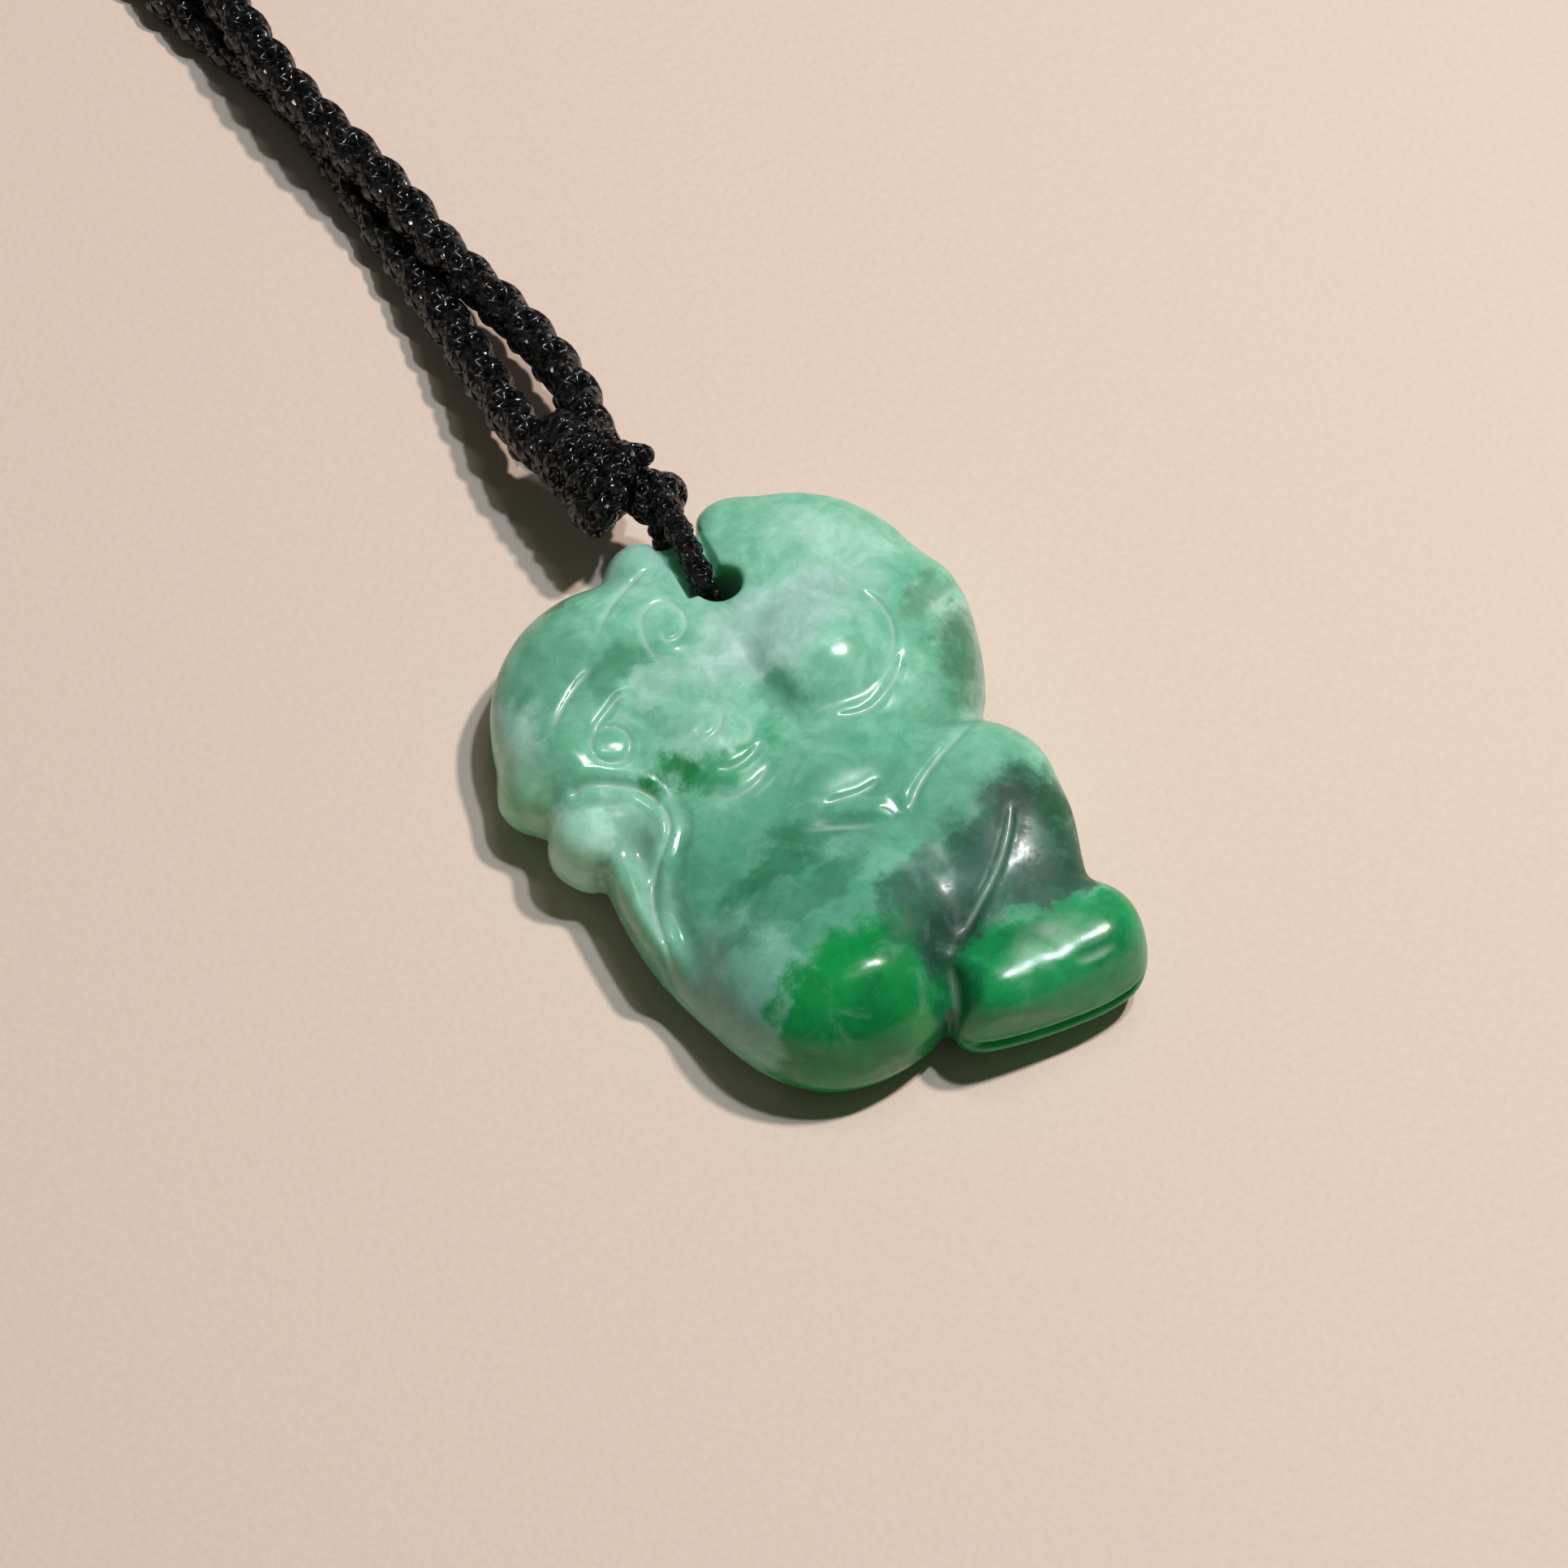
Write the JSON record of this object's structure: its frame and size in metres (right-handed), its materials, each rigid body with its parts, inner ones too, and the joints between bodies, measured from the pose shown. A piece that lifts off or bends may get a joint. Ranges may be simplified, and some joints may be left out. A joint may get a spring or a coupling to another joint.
{
  "type": "carved jade pendant on a braided neck cord",
  "caption": "Flat-backed oval jade carving of a squatting animal with a round fruit, hung by a thin bail cord from two braided strands that close with a button knot and loop.",
  "frame": {"origin": "centre of the carving's outline, on its flat back", "axes": "+Y from the carving's foot to its drilled hole, +Z out of the carved front, +X towards the fruit and the toes"},
  "size_m": [0.0354, 0.112, 0.0112],
  "materials": {
    "jade": "polished, translucent",
    "braided_cord": "glossy braided nylon",
    "bail_cord": "glossy braided nylon"
  },
  "bodies": {
    "neck_cord": {"binding_knot": "braided_cord", "braid_left": "braided_cord", "braid_right": "braided_cord", "coil_left": "braided_cord", "coil_right": "braided_cord", "coil_tie": "bail_cord", "button_knot": "braided_cord", "clasp_loop": "braided_cord"},
    "bail": {"bail_cord": "bail_cord", "bail_knot": "bail_cord"},
    "jade": {"jade_carving": "jade"}
  },
  "joints": [
    {"name": "bail_lift", "type": "hinge", "parent": "neck_cord", "child": "bail", "pos_m": [0.0016, 0.0187, 0.0054], "axis": [-1, 0, 0], "range_deg": [0, 45]},
    {"name": "pendant_swing", "type": "hinge", "parent": "bail", "child": "jade", "pos_m": [0.0011, 0.0119, 0.004], "axis": [0, 0, 1], "range_deg": [-4, 4]}
  ]
}
